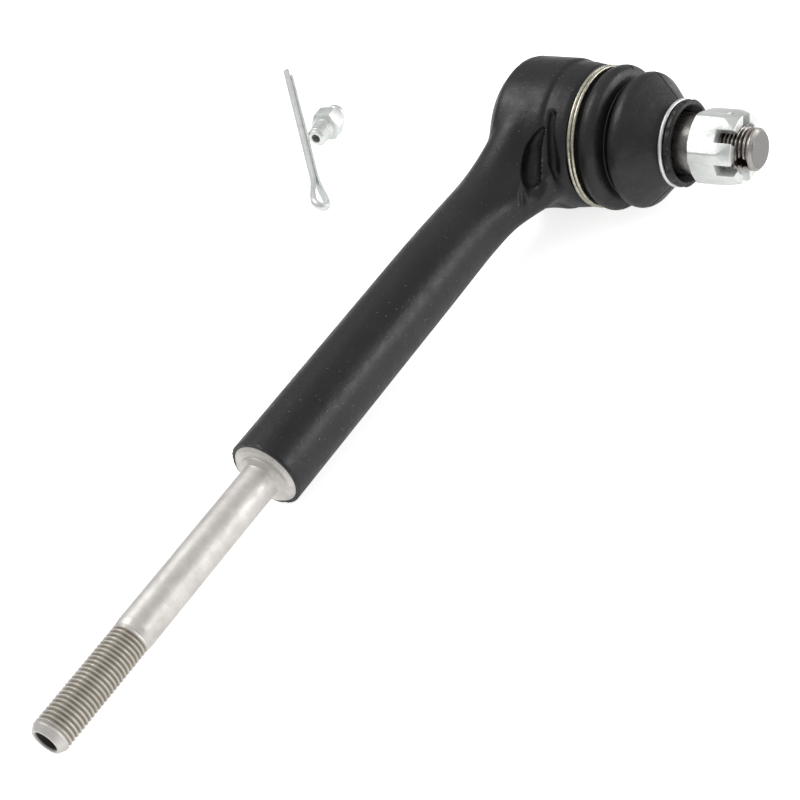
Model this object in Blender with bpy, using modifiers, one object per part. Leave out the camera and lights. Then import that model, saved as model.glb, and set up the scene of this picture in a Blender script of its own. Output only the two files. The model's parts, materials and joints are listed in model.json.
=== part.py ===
"""Tie rod end for a car's steering: a ball stud in a forged housing, with boot, castle nut and loose fittings.

All sizes are in millimetres and are scaled to metres where meshes are made. The stud's axis is Y, the
stem runs towards +X, and the origin is the middle of the end cover's outer face. The part lies on its
side, tipped a little about Y, so that the housing and the rod's end both touch the surface below.
"""
import math

import bmesh
import bpy
from mathutils import Vector

MM = 0.001
GAP = 0.3  # clearance between neighbouring pieces
STEPS = 36  # segments round a large turned piece
SMALL_STEPS = 20  # segments round a small one
MERGE = 0.00001  # merge distance in metres

# Housing, stations along Y measured from the end cover's outer face
HOUSING_R = 21.7
RIM_Y = -1.2
RIM_CORNER = ((17.9, -1.2), (18.6, -0.8), (20.6, 1.2), (21.4, 2.3))  # radius and station
CYLINDER_Y = (3.8, 15.5)
NOSE_Y = 25.7
NOSE_R = 20.0
SPIGOT_R = 17.6
SPIGOT_END_Y = 30.5
BORE_R = 16.0
BORE_END_Y = 22.3
COVER_R = 17.7
COVER_THICKNESS = 1.8
LIP_R = 16.7  # opening of the rolled lip that holds the end cover
COVER_FACE_R = 16.2
NIPPLE_HOLE_R = 3.0

# Stem and threaded rod, stations along X measured from the stud's axis
STEM_Y = 6.4
STEM_R = 9.18
STEM_START_X = 58.0
NECK_START_X = 17.2
SHOULDER_X = 146.6
SHANK_R = 5.1
THREAD_START_X = 201.0
THREAD_R = 4.9
THREAD_END_X = 231.5
ROD_END_X = 233.5
CENTRE_HOLE_R = 3.3

# Ball stud, stations measured from the ball's centre
BALL_Y = 15.0
BALL_R = 10.0
NECK_R = 5.8
TAPER = ((8.9, 33.5), (8.15, 42.7))
STUD_R = 5.95
STUD_END = 60.5
PIN_HOLE = 57.3
PIN_HOLE_R = 1.75
STUD_TURN = math.radians(-5.4)  # direction of the cotter pin's hole, from +X towards +Z

# Castle nut
NUT_Y = 58.15
NUT_HEIGHT = 13.0
NUT_CORNER_R = 10.97
NUT_BASE_R = 9.7
NUT_CROWN_R = 9.45  # the crown's corners are turned to a steep cone
NUT_BORE_R = 6.25
SLOT_DEPTH = 5.2
SLOT_WIDTH = 3.8

# Boot and its rings
WAIST_Y = 36.45
WAIST_R = 15.4
BOOT_WALL = 1.5
LARGE_RING = (26.6, 19.75, 0.55)  # station of the first turn, mean radius and wire radius
LARGE_RING_PITCH = 1.25
NECK_RING = (51.0, 11.75, 0.6)

# Loose fittings on the surface below
PIN_WIRE_R = 1.45
PIN_LEGS = (86.0, 82.5)
PIN_AT = (25.0, -67.9)
PIN_HEADING = math.radians(-136.8)
PIN_LEAN = math.radians(6.3)
PIN_ROLL = math.radians(35)
PIN_EYE_HEIGHT = 2.12
NIPPLE_AT = (-27.0, -98.2)  # the tip of its head
NIPPLE_HEADING = math.radians(10)
NIPPLE_FLATS_R = 4.76
NIPPLE_SEAT = 3.75  # station of the check ball's middle from the head's tip

REST_TILT = math.asin(HOUSING_R / math.hypot(THREAD_END_X, THREAD_R)) - math.atan2(THREAD_R, THREAD_END_X)
FLOOR_Z = -HOUSING_R

PAINT = ("black_paint", (0.012, 0.012, 0.014, 1), 0.42, 0.0)
STEEL = ("turned_steel", (0.46, 0.45, 0.43, 1), 0.38, 1.0)
RUBBER = ("black_rubber", (0.016, 0.016, 0.017, 1), 0.55, 0.0)
ZINC = ("zinc_plate", (0.72, 0.75, 0.73, 1), 0.3, 1.0)
SPRING = ("spring_steel", (0.5, 0.47, 0.38, 1), 0.32, 1.0)
PLASTIC = ("bearing_plastic", (0.72, 0.7, 0.62, 1), 0.45, 0.0)


def clear_scene():
    for thing in list(bpy.data.objects):
        bpy.data.objects.remove(thing, do_unlink=True)


def collection(name):
    made = bpy.data.collections.new(name)
    bpy.context.scene.collection.children.link(made)
    return made


def paint(piece, finish):
    name, colour, roughness, metallic = finish
    material = bpy.data.materials.get(name)
    if material is None:
        material = bpy.data.materials.new(name)
        material.use_nodes = True
        shader = material.node_tree.nodes["Principled BSDF"]
        shader.inputs["Base Color"].default_value = colour
        shader.inputs["Roughness"].default_value = roughness
        shader.inputs["Metallic"].default_value = metallic
    piece.data.materials.append(material)


def add_object(name, data, group, parent=None):
    piece = bpy.data.objects.new(name, data)
    group.objects.link(piece)
    piece.parent = parent
    return piece


def as_cutter(piece):
    piece.hide_render = True
    piece.display_type = "WIRE"
    return piece


def arc(centre_r, centre_y, radius, start, end, count):
    """Points (r, y) on an arc, with angles in degrees measured from the outward direction."""
    points = []
    for i in range(count + 1):
        angle = math.radians(start + (end - start) * i / count)
        points.append((centre_r + radius * math.cos(angle), centre_y + radius * math.sin(angle)))
    return points


def turned(name, outer, group, parent, inner=None, axis="Y", at=(0, 0, 0), datum=0.0, turn=0.0, steps=STEPS):
    """A turned piece from its outer and inner outlines, each listed as (radius, station) upwards.

    The object's origin is at the given place, which is the outline's station datum.
    """
    profile = list(reversed(outer)) + (inner or [])
    mesh = bpy.data.meshes.new(name)
    vertices = [(r * MM, 0, (station - datum) * MM) for r, station in profile]
    edges = [(i, i + 1) for i in range(len(vertices) - 1)]
    if inner:
        edges.append((len(vertices) - 1, 0))
    mesh.from_pydata(vertices, edges, [])
    piece = add_object(name, mesh, group, parent)
    piece.location = Vector(at) * MM
    if axis == "X":
        piece.rotation_mode = "ZYX"
        piece.rotation_euler = (turn, math.pi / 2, 0)
    else:
        piece.rotation_euler = (-math.pi / 2, -turn, 0)
    screw = piece.modifiers.new("turn", "SCREW")
    screw.axis = "Z"
    screw.angle = math.tau
    screw.steps = screw.render_steps = steps
    screw.use_merge_vertices = True
    screw.merge_threshold = MERGE
    return piece


def box(name, size, at, group, parent, turn=0.0):
    mesh = bpy.data.meshes.new(name)
    shape = bmesh.new()
    bmesh.ops.create_cube(shape, size=1.0)
    bmesh.ops.scale(shape, vec=Vector(size) * MM, verts=shape.verts)
    shape.to_mesh(mesh)
    shape.free()
    piece = add_object(name, mesh, group, parent)
    piece.location = Vector(at) * MM
    piece.rotation_euler = (0, -turn, 0)
    return piece


def combine(piece, other, operation):
    boolean = piece.modifiers.new(operation.lower(), "BOOLEAN")
    boolean.object = as_cutter(other)
    boolean.operation = operation
    boolean.solver = "EXACT"


def loft(name, rings, group, parent):
    """A closed body through rings of equal point count, capped at both ends."""
    shape = bmesh.new()
    made = [[shape.verts.new(Vector(point) * MM) for point in ring] for ring in rings]
    for near, far in zip(made, made[1:]):
        for i in range(len(near)):
            j = (i + 1) % len(near)
            shape.faces.new((near[i], near[j], far[j], far[i]))
    shape.faces.new(list(reversed(made[0])))
    shape.faces.new(made[-1])
    bmesh.ops.recalc_face_normals(shape, faces=shape.faces)
    mesh = bpy.data.meshes.new(name)
    shape.to_mesh(mesh)
    shape.free()
    return add_object(name, mesh, group, parent)


def wire(name, points, radius, cyclic, group, parent):
    """A round wire as a mesh: a bevelled curve whose caps are welded."""
    curve = bpy.data.curves.new(name, "CURVE")
    curve.dimensions = "3D"
    curve.bevel_depth = radius * MM
    curve.bevel_resolution = 2
    curve.use_fill_caps = not cyclic
    spline = curve.splines.new("POLY")
    spline.points.add(len(points) - 1)
    for slot, point in zip(spline.points, points):
        slot.co = (*(Vector(point) * MM), 1)
    spline.use_cyclic_u = cyclic
    guide = add_object(name + "_guide", curve, group)
    bpy.context.view_layer.update()
    mesh = bpy.data.meshes.new_from_object(guide.evaluated_get(bpy.context.evaluated_depsgraph_get()))
    bpy.data.objects.remove(guide, do_unlink=True)
    shape = bmesh.new()
    shape.from_mesh(mesh)
    bmesh.ops.remove_doubles(shape, verts=shape.verts, dist=MERGE)
    bmesh.ops.recalc_face_normals(shape, faces=shape.faces)
    shape.to_mesh(mesh)
    shape.free()
    mesh.name = name
    return add_object(name, mesh, group, parent)


def large_ring_points():
    """Two flat turns side by side, with one crossing on the side away from the stem."""
    station, mean_radius, _ = LARGE_RING
    crossing = math.radians(35)  # half of the sector in which the wire changes lane
    count = 72
    points = []
    for i in range(count + 1):
        angle = crossing + (2 * math.tau - 2 * crossing) * i / count
        lane = min(max((angle - math.tau + crossing) / (2 * crossing), 0.0), 1.0)
        lane = lane * lane * (3 - 2 * lane)
        y = station + LARGE_RING_PITCH * lane
        place = angle + math.pi
        points.append((mean_radius * math.cos(place), y, mean_radius * math.sin(place)))
    return points


def circle_points(station, radius, count):
    angles = [math.tau * i / count for i in range(count)]
    return [(radius * math.cos(angle), station, radius * math.sin(angle)) for angle in angles]


def coil(name, radius, wire_radius, start, end, turns, group, parent):
    """An open coil along X."""
    per_turn = 10
    points = []
    for i in range(per_turn * turns + 1):
        angle = math.tau * i / per_turn
        x = start + (end - start) * i / (per_turn * turns)
        points.append((x, radius * math.cos(angle), radius * math.sin(angle)))
    return wire(name, points, wire_radius, False, group, parent)


def neck_ring(x, low, high, half_height, squareness=2.3, count=28):
    """One section of the stem's neck: a rounded oblong at x, from y = low to y = high."""
    middle, half_width = (low + high) / 2, (high - low) / 2
    ring = []
    for i in range(count):
        angle = math.tau * i / count
        across, up = math.cos(angle), math.sin(angle)
        y = middle + half_width * math.copysign(abs(across) ** (2 / squareness), across)
        z = half_height * math.copysign(abs(up) ** (2 / squareness), up)
        ring.append((x, y, z))
    return ring


def make_housing(parts, cutters, attitude):
    outline = [(0, RIM_Y), *RIM_CORNER, (HOUSING_R, CYLINDER_Y[0])]
    outline += [(HOUSING_R, CYLINDER_Y[1]), (NOSE_R, NOSE_Y), (SPIGOT_R, NOSE_Y)]
    outline += [(SPIGOT_R, SPIGOT_END_Y), (0, SPIGOT_END_Y)]
    housing = turned("tie_rod_housing", outline, parts, attitude)
    rod = [(0, STEM_START_X), (STEM_R - 0.7, STEM_START_X), (STEM_R, STEM_START_X + 8.0)]
    rod += [(STEM_R, SHOULDER_X - 1.0), (8.3, SHOULDER_X)]
    rod += [(6.5, SHOULDER_X), (6.1, SHOULDER_X + 0.7), (SHANK_R, SHOULDER_X + 1.3)]
    rod += [(SHANK_R, THREAD_START_X - 1.0), (THREAD_R, THREAD_START_X), (THREAD_R, THREAD_END_X)]
    rod += [(3.95, ROD_END_X), (CENTRE_HOLE_R, ROD_END_X)]
    rod += [(0, ROD_END_X - CENTRE_HOLE_R / math.tan(math.radians(30)))]
    stem = turned("stem_and_rod", rod, cutters, attitude, axis="X", at=(0, STEM_Y, 0), steps=SMALL_STEPS)
    combine(housing, stem, "UNION")
    spans = (
        (70, -2.6, 15.4, 9.0),
        (62, -2.7, 15.5, 9.0),
        (54, -2.7, 15.9, 8.8),
        (47, -2.5, 16.6, 8.4),
        (41, -2.2, 17.7, 8.0),
        (36, -1.8, 19.2, 7.7),
        (31, -1.2, 21.4, 7.7),
        (26, -0.9, 23.6, 8.0),
        (NECK_START_X, -0.8, 25.0, 8.6),
    )
    neck = loft("stem_neck", [neck_ring(*span) for span in spans], cutters, attitude)
    combine(housing, neck, "UNION")
    bore = [(0, RIM_Y - 2), (LIP_R, RIM_Y - 2), (LIP_R, -GAP), (COVER_R + GAP, -GAP)]
    bore += [(COVER_R + GAP, COVER_THICKNESS + GAP), (BORE_R, COVER_THICKNESS + GAP)]
    bore += [(BORE_R, BORE_END_Y), (11.3, BORE_END_Y), (15.1, SPIGOT_END_Y + 0.1), (15.6, 33), (0, 33)]
    combine(housing, turned("housing_bore", bore, cutters, attitude), "DIFFERENCE")
    hole = [(0, -27), (NIPPLE_HOLE_R, -27), (NIPPLE_HOLE_R, -10), (0, -10)]
    at = (0, BALL_Y, 0)
    turn = math.radians(4)
    drill = turned("nipple_hole", hole, cutters, attitude, axis="X", at=at, turn=turn, steps=SMALL_STEPS)
    combine(housing, drill, "DIFFERENCE")
    paint(housing, PAINT)


def make_ball_seats(parts, attitude):
    seat_r = BALL_R + GAP
    outer_r = BORE_R - GAP
    split = GAP / 2
    bottom = COVER_THICKNESS + 1.8 - BALL_Y
    hole_r = 4.0
    low = -math.degrees(math.acos(hole_r / seat_r))
    rear = turned(
        "rear_bearing_seat",
        [(outer_r, bottom), (outer_r, -split)],
        parts,
        attitude,
        inner=[(hole_r, bottom)] + arc(0, 0, seat_r, low, -1, 6),
        at=(0, BALL_Y, 0),
    )
    top = BORE_END_Y - GAP - BALL_Y
    high = math.degrees(math.asin(4.5 / seat_r))
    front = turned(
        "front_bearing_seat",
        [(outer_r, split), (outer_r, top)],
        parts,
        attitude,
        inner=arc(0, 0, seat_r, 1, high, 4) + [(10.6, top)],
        at=(0, BALL_Y, 0),
    )
    for seat in (rear, front):
        paint(seat, PLASTIC)


def make_rear_closure(parts, attitude):
    plate = [(0, 0), (COVER_FACE_R, 0), (COVER_R, 0.5), (COVER_R, COVER_THICKNESS), (0, COVER_THICKNESS)]
    cover = turned("end_cover", plate, parts, attitude)
    paint(cover, STEEL)
    low = COVER_THICKNESS + GAP
    washer = turned(
        "preload_spring_washer",
        [(14.8, low), (14.8, low + 0.7)],
        parts,
        attitude,
        inner=[(6.0, low + 0.5), (6.0, low + 1.2)],
    )
    paint(washer, SPRING)


def make_stud(parts, cutters, attitude):
    meeting = math.degrees(math.acos(NECK_R / BALL_R))
    outline = arc(0, 0, BALL_R, -90, meeting, 11)
    outline[0] = (0, -BALL_R)
    outline += [(NECK_R, 24.5), (6.5, 27.5), *TAPER, (STUD_R, TAPER[1][1] + 0.1)]
    outline += [(STUD_R, STUD_END - 1.0), (STUD_R - 1.0, STUD_END), (0, STUD_END)]
    stud = turned("ball_stud", outline, parts, attitude, at=(0, BALL_Y, 0), turn=STUD_TURN)
    reach = 2 * STUD_R
    hole = [(0, -reach), (PIN_HOLE_R, -reach), (PIN_HOLE_R, reach), (0, reach)]
    at = (0, BALL_Y + PIN_HOLE, 0)
    drill = turned("cotter_hole", hole, cutters, attitude, axis="X", at=at, steps=16)
    drill.rotation_euler.y -= STUD_TURN
    combine(stud, drill, "DIFFERENCE")
    paint(stud, STEEL)


def make_boot(parts, attitude):
    collar = (SPIGOT_R + GAP, LARGE_RING[1] - LARGE_RING[2] - GAP)
    lobe = (17.6, 32.0, 3.0)  # middle radius, station and outer radius of the section
    outer = [(collar[1], 26.05)] + arc(*lobe, -62, 58, 6) + [(17.3, 35.6), (16.0, 36.1), (WAIST_R, WAIST_Y)]
    inner = [(collar[0], 26.05), (collar[0], 30.2)]
    inner += arc(lobe[0], lobe[1], lobe[2] - BOOT_WALL, -45, 55, 3)
    inner += [(15.9, 34.5), (14.6, 35.3), (WAIST_R - BOOT_WALL, WAIST_Y)]
    base = turned("dust_boot_base_lobe", outer, parts, attitude, inner=inner)
    start = WAIST_Y + GAP
    lobe = (15.6, 40.6, 3.5)
    outer = [(WAIST_R, start), (16.1, start + 0.3)] + arc(*lobe, -62, 42, 6)
    outer += [(12.9, 48.2), (11.6, 49.6), (NECK_RING[1] - NECK_RING[2] - GAP, 50.0)]
    outer += [(NECK_RING[1] - NECK_RING[2] - GAP, 51.9), (12.1, 52.1), (12.1, 53.6), (11.5, 54.0)]
    lip_r = TAPER[0][0] + GAP
    inner = [(WAIST_R - BOOT_WALL, start), (14.7, start + 1.4)]
    inner += arc(lobe[0], lobe[1], lobe[2] - BOOT_WALL, -45, 42, 3)
    inner += [(11.0, 48.2), (lip_r, 49.4), (lip_r, 54.0)]
    at = (0, BALL_Y, 0)
    neck = turned("dust_boot_neck_lobe", outer, parts, attitude, inner=inner, at=at, datum=BALL_Y)
    for piece in (base, neck):
        paint(piece, RUBBER)


def make_rings(parts, attitude):
    points = large_ring_points()
    large = wire("boot_large_wire_ring", points, LARGE_RING[2], False, parts, attitude)
    points = circle_points(NECK_RING[0] - BALL_Y, NECK_RING[1], 40)
    small = wire("boot_neck_ring", points, NECK_RING[2], True, parts, attitude)
    small.location.y = BALL_Y * MM
    for ring in (large, small):
        paint(ring, SPRING)


def make_nut(parts, cutters, attitude):
    at = (0, NUT_Y, 0)
    wide = NUT_CORNER_R + 0.6
    outer = [(NUT_BASE_R, 0), (wide, 1.3), (wide, NUT_HEIGHT - 6.0), (NUT_CROWN_R, NUT_HEIGHT)]
    bevel = 0.7
    inner = [(NUT_BORE_R + bevel, 0), (NUT_BORE_R, bevel), (NUT_BORE_R, NUT_HEIGHT - bevel)]
    inner.append((NUT_BORE_R + bevel, NUT_HEIGHT))
    nut = turned("castle_nut", outer, parts, attitude, inner=inner, at=at)
    corner = STUD_TURN + math.radians(30)
    sides = [(0, -1), (NUT_CORNER_R, -1), (NUT_CORNER_R, NUT_HEIGHT + 1), (0, NUT_HEIGHT + 1)]
    flats = turned("nut_flats", sides, cutters, attitude, at=at, turn=corner, steps=6)
    combine(nut, flats, "INTERSECT")
    for i in range(3):
        middle = (0, NUT_Y + NUT_HEIGHT - SLOT_DEPTH / 2 + 1, 0)
        size = (30, SLOT_DEPTH + 2, SLOT_WIDTH)
        slot = box(f"nut_slot_{i}", size, middle, cutters, attitude, turn=STUD_TURN + math.radians(60 * i))
        combine(nut, slot, "DIFFERENCE")
    paint(nut, ZINC)


def pin_path():
    """The line of the folded wire's flat face: long leg, eye, short leg, as (along, across)."""
    half_gap = 0.12
    eye = (4.1, 2.4, 1.9)  # middle, half length and half width of the opening's round end
    shoulder = [(18.0, half_gap), (14.5, 0.4), (11.0, 0.98), (7.5, 1.6)]
    path = [(PIN_LEGS[0], half_gap), (PIN_LEGS[0] / 2, half_gap)] + shoulder
    for i in range(13):
        angle = math.radians(75 + 210 * i / 12)
        path.append((eye[0] + eye[1] * math.cos(angle), eye[2] * math.sin(angle)))
    path += [(along, -across) for along, across in reversed(shoulder)]
    path += [(PIN_LEGS[1] / 2, -half_gap), (PIN_LEGS[1], -half_gap)]
    return [Vector(point) for point in path]


def make_cotter_pin(parts):
    path = pin_path()
    rings = []
    for i, point in enumerate(path):
        before, after = path[max(i - 1, 0)], path[min(i + 1, len(path) - 1)]
        along = (after - before).normalized()
        outward = Vector((along.y, -along.x))
        ring = []
        for k in range(9):
            angle = math.radians(-90 + 180 * k / 8)
            spot = point + outward * PIN_WIRE_R * math.cos(angle)
            ring.append((spot.x, spot.y, PIN_WIRE_R * math.sin(angle)))
        rings.append(ring)
    pin = loft("cotter_pin", rings, parts, None)
    pin.rotation_euler = (PIN_ROLL, -PIN_LEAN, PIN_HEADING)
    pin.location = Vector((PIN_AT[0], PIN_AT[1], FLOOR_Z + PIN_EYE_HEIGHT)) * MM
    paint(pin, ZINC)


def make_grease_nipple(parts, cutters):
    place = add_object("nipple_place", None, parts)
    place.location = Vector((NIPPLE_AT[0], NIPPLE_AT[1], FLOOR_Z + NIPPLE_FLATS_R)) * MM
    place.rotation_euler = (0, 0, NIPPLE_HEADING)
    outer = [(1.5, 0), (2.3, 0.5), (3.3, 2.2), (3.3, 3.1), (2.3, 4.4), (2.3, 5.0), (3.9, 6.4)]
    outer += [(3.9, 11.4), (3.45, 11.8), (3.2, 17.7), (2.5, 18.4)]
    inner = [(0.6, 0), (0.6, 2.0), (1.5, 2.9), (1.5, 18.4)]
    body = turned("grease_nipple_body", outer, parts, place, inner=inner, axis="X", steps=SMALL_STEPS)
    corner_r = NIPPLE_FLATS_R / math.cos(math.radians(30))
    hexagon = turned(
        "nipple_hexagon",
        [(corner_r - 0.7, 6.0), (corner_r, 6.7), (corner_r, 10.7), (corner_r - 0.7, 11.4)],
        cutters,
        place,
        inner=[(2.0, 6.0), (2.0, 11.4)],
        axis="X",
        turn=math.radians(30),
        steps=6,
    )
    combine(body, hexagon, "UNION")
    paint(body, ZINC)
    ball_r = 1.0
    ball = turned(
        "nipple_check_ball",
        [(0, -ball_r)] + arc(0, 0, ball_r, -75, 75, 6) + [(0, ball_r)],
        parts,
        place,
        axis="X",
        at=(NIPPLE_SEAT, 0, 0),
        steps=16,
    )
    paint(ball, STEEL)
    spring = coil("nipple_check_spring", 0.95, 0.16, NIPPLE_SEAT + ball_r + 1.3, 12.0, 4, parts, place)
    paint(spring, SPRING)


def shade(parts):
    for piece in parts.objects:
        if piece.type == "MESH":
            piece.data.shade_smooth()
            piece.data.set_sharp_from_angle(angle=math.radians(35))


def main():
    clear_scene()
    parts = collection("tie_rod_end")
    cutters = collection("cutters")
    attitude = add_object("lying_attitude", None, parts)
    attitude.rotation_euler = (0, REST_TILT, 0)
    make_housing(parts, cutters, attitude)
    make_rear_closure(parts, attitude)
    make_ball_seats(parts, attitude)
    make_stud(parts, cutters, attitude)
    make_boot(parts, attitude)
    make_rings(parts, attitude)
    make_nut(parts, cutters, attitude)
    make_cotter_pin(parts)
    make_grease_nipple(parts, cutters)
    shade(parts)


main()
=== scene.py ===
"""Looks for the tie rod end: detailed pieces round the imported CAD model, their materials, light and camera.

Shapes are worked out in millimetres in the assembly's own axes: the stud along Y, the stem along X and the
origin in the middle of the end cover's outer face. LAY turns them into the row frame, in metres.
"""

import json
import math

import bmesh
import bpy
import numpy as np
from mathutils import Matrix, Vector


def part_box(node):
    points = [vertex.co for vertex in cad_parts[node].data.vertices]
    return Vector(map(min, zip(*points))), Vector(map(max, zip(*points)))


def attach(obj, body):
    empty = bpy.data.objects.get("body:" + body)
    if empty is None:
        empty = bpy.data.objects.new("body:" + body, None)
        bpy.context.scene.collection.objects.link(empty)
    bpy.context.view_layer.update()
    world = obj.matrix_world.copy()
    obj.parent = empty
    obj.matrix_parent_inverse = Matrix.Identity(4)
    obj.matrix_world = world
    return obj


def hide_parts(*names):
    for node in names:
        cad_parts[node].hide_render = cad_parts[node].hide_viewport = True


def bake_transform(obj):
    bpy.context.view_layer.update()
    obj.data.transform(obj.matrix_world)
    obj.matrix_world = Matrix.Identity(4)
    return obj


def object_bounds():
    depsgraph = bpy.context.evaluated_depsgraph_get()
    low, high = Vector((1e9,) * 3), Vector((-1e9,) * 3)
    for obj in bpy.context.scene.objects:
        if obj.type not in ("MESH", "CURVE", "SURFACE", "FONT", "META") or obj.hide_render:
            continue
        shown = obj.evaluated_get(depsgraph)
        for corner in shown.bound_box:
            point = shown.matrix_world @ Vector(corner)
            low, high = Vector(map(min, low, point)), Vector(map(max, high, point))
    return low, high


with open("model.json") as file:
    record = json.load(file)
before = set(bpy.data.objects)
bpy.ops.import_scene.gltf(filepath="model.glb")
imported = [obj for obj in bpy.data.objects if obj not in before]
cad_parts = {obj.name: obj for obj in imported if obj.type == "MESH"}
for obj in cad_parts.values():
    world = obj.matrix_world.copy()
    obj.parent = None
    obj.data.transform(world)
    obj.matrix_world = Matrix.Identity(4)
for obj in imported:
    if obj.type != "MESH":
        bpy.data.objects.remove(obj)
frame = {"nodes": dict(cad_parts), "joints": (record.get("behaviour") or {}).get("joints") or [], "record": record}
cad_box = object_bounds()

MM = 0.001
MOUNTS = {mount["name"]: mount for mount in frame["record"]["mounts"]}
JOINTS = {joint["name"]: joint for joint in frame["joints"]}
STEM_AXIS = MOUNTS["stem_shoulder_face"]["axis"]
TILT = math.atan2(-STEM_AXIS[2], STEM_AXIS[0])
LAY = Matrix.Rotation(TILT, 4, "Y") @ Matrix.Scale(MM, 4)
FLOOR_Z = cad_box[0].z
FLOOR_GAP = 0.00005
SEGMENTS = 160

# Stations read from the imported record, in millimetres
SHOULDER_X = (LAY.inverted() @ Vector(MOUNTS["stem_shoulder_face"]["pos_m"])).x
STUD_END_Y = MOUNTS["stud_end_face"]["pos_m"][1] / MM
BALL_Y = JOINTS["stud_spin"]["pos_m"][1] / MM


def span(node, axis):
    """Lowest and highest coordinate of a CAD node along one axis of the assembly, in millimetres."""
    back = LAY.inverted()
    values = [(back @ vertex.co)[axis] for vertex in frame["nodes"][node].data.vertices]
    return min(values), max(values)


ROD_END_X = span("tie_rod_housing", 0)[1]
NUT_LOW, NUT_HIGH = span("castle_nut", 1)

# Housing and stem
STEM_Y = 6.4
STEM_R = 9.18
HOUSING_R = 21.7
BORE_R = 16.0
BORE_END_Y = 22.3
SPIGOT_R = 17.6
SPIGOT_END_Y = 30.5
FORGING_END_X = SHOULDER_X - 1.0
SHANK_R = 5.1
ROD_THREAD = (SHOULDER_X + 54.6, ROD_END_X - 1.9)
ROD_THREAD_R = 4.95
ROD_PITCH = 1.19
CENTRE_HOLE_R = 3.3
NIPPLE_HOLE_R = 3.0
STUD_TURN = math.radians(-5.4)
STUD_R = 5.95
STUD_PITCH = 1.19
BALL_R = 10.0
CORNER_R = 0.3
WIRE_SIDES = 20


# ---------------------------------------------------------------- meshes

def mesh_object(name, points, faces, placed=LAY):
    """An object at the origin whose mesh holds its place, with doubled points merged and normals outwards."""
    mesh = bpy.data.meshes.new(name)
    mesh.from_pydata(np.asarray(points, float).tolist(), [], faces)
    mesh.transform(placed)
    shape = bmesh.new()
    shape.from_mesh(mesh)
    bmesh.ops.remove_doubles(shape, verts=shape.verts, dist=1e-7)
    bmesh.ops.recalc_face_normals(shape, faces=shape.faces)
    shape.to_mesh(mesh)
    shape.free()
    piece = bpy.data.objects.new(name, mesh)
    bpy.context.scene.collection.objects.link(piece)
    return piece


def grid_faces(rows, columns, wrap_rows=False):
    """Quads between neighbouring rows of points; each row is a closed ring."""
    faces = []
    for i in range(rows if wrap_rows else rows - 1):
        a, b = i * columns, (i + 1) % rows * columns
        for k in range(columns):
            n = (k + 1) % columns
            faces.append((a + k, a + n, b + n, b + k))
    return faces


def rounded(outline, closed=False):
    """An outline with rounded corners. A point is (radius, station), and may add its own corner radius."""
    made = []
    count = len(outline)
    for i, entry in enumerate(outline):
        point = Vector(entry[:2])
        size = entry[2] if len(entry) > 2 else CORNER_R
        if (not closed and i in (0, count - 1)) or size <= 0:
            made.append(tuple(point))
            continue
        before = Vector(outline[i - 1][:2]) - point
        after = Vector(outline[(i + 1) % count][:2]) - point
        turn = math.pi - before.angle(after)
        if turn < math.radians(8):
            made.append(tuple(point))
            continue
        reach = min(size * math.tan(turn / 2), 0.42 * before.length, 0.42 * after.length)
        near = before.normalized() * reach
        far = after.normalized() * reach
        made.append(tuple(point + near * 1.15))
        for step in range(5):
            t = step / 4
            made.append(tuple(point + near * (1 - t) ** 2 + far * t ** 2))
        made.append(tuple(point + far * 1.15))
    return made


def arc(centre_r, centre_s, radius, start, end, count=14):
    """Points (radius, station) on an arc, with angles in degrees from the outward direction."""
    angles = [math.radians(start + (end - start) * i / count) for i in range(count + 1)]
    return [(centre_r + radius * math.cos(a), centre_s + radius * math.sin(a), 0) for a in angles]


def stations(radius, start, end, step):
    """Evenly spaced points along a cylinder, close enough together to carry a thread."""
    count = math.ceil((end - start) / step)
    return [(radius, start + (end - start) * i / count) for i in range(count + 1)]


def turned(name, outline, axis="Y", at=(0, 0, 0), closed=False, segments=SEGMENTS, turn=0.0, relief=None,
           placed=LAY):
    """A turned piece from (radius, station) points; relief may change the radius by station and angle."""
    points = np.array([entry[:2] for entry in outline], float)
    angles = turn + np.linspace(0, math.tau, segments, endpoint=False)
    r = np.repeat(points[:, :1], segments, 1)
    s = np.repeat(points[:, 1:], segments, 1)
    a = np.repeat(angles[None], len(points), 0)
    if relief is not None:
        r = np.where(r > 0, relief(r, s, a), 0)
    across, up = r * np.cos(a), r * np.sin(a)
    order = (across, s, up) if axis == "Y" else (s, across, up)
    grid = np.stack(order, -1).reshape(-1, 3) + np.array(at, float)
    return mesh_object(name, grid, grid_faces(len(points), segments, closed), placed)


def screw_thread(radius, depth, pitch, start, end, hand=1):
    """Relief that cuts a thread into a surface of about the given radius, fading out at both ends."""
    def relief(r, s, a):
        phase = (s / pitch - hand * a / math.tau) % 1.0
        from_crest = np.abs(phase - 0.5) * 2
        groove = np.clip((from_crest - 0.16) / 0.6, 0, 1)
        fade = np.clip((s - start) / pitch, 0, 1) * np.clip((end - s) / pitch, 0, 1)
        on_thread = (s >= start) & (s <= end) & (r > radius - 0.5)
        return np.where(on_thread, r - depth * groove * fade, r)
    return relief


def applied(piece):
    """Applies the piece's modifiers to its mesh."""
    bpy.context.view_layer.update()
    graph = bpy.context.evaluated_depsgraph_get()
    mesh = bpy.data.meshes.new_from_object(piece.evaluated_get(graph))
    mesh.name = piece.name
    piece.modifiers.clear()
    piece.data = mesh
    return piece


def combine(piece, other, operation="DIFFERENCE"):
    """Applies a Boolean with another object, which is then removed."""
    boolean = piece.modifiers.new("cut", "BOOLEAN")
    boolean.object = other
    boolean.operation = operation
    boolean.solver = "EXACT"
    applied(piece)
    bpy.data.objects.remove(other, do_unlink=True)
    return piece


def bevelled(piece, width, angle, segments=2):
    """Bevels the edges sharper than an angle in degrees; the width is in millimetres."""
    bevel = piece.modifiers.new("edges", "BEVEL")
    bevel.width = width * MM
    bevel.segments = segments
    bevel.limit_method = "ANGLE"
    bevel.angle_limit = math.radians(angle)
    bevel.harden_normals = False
    return applied(piece)


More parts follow.
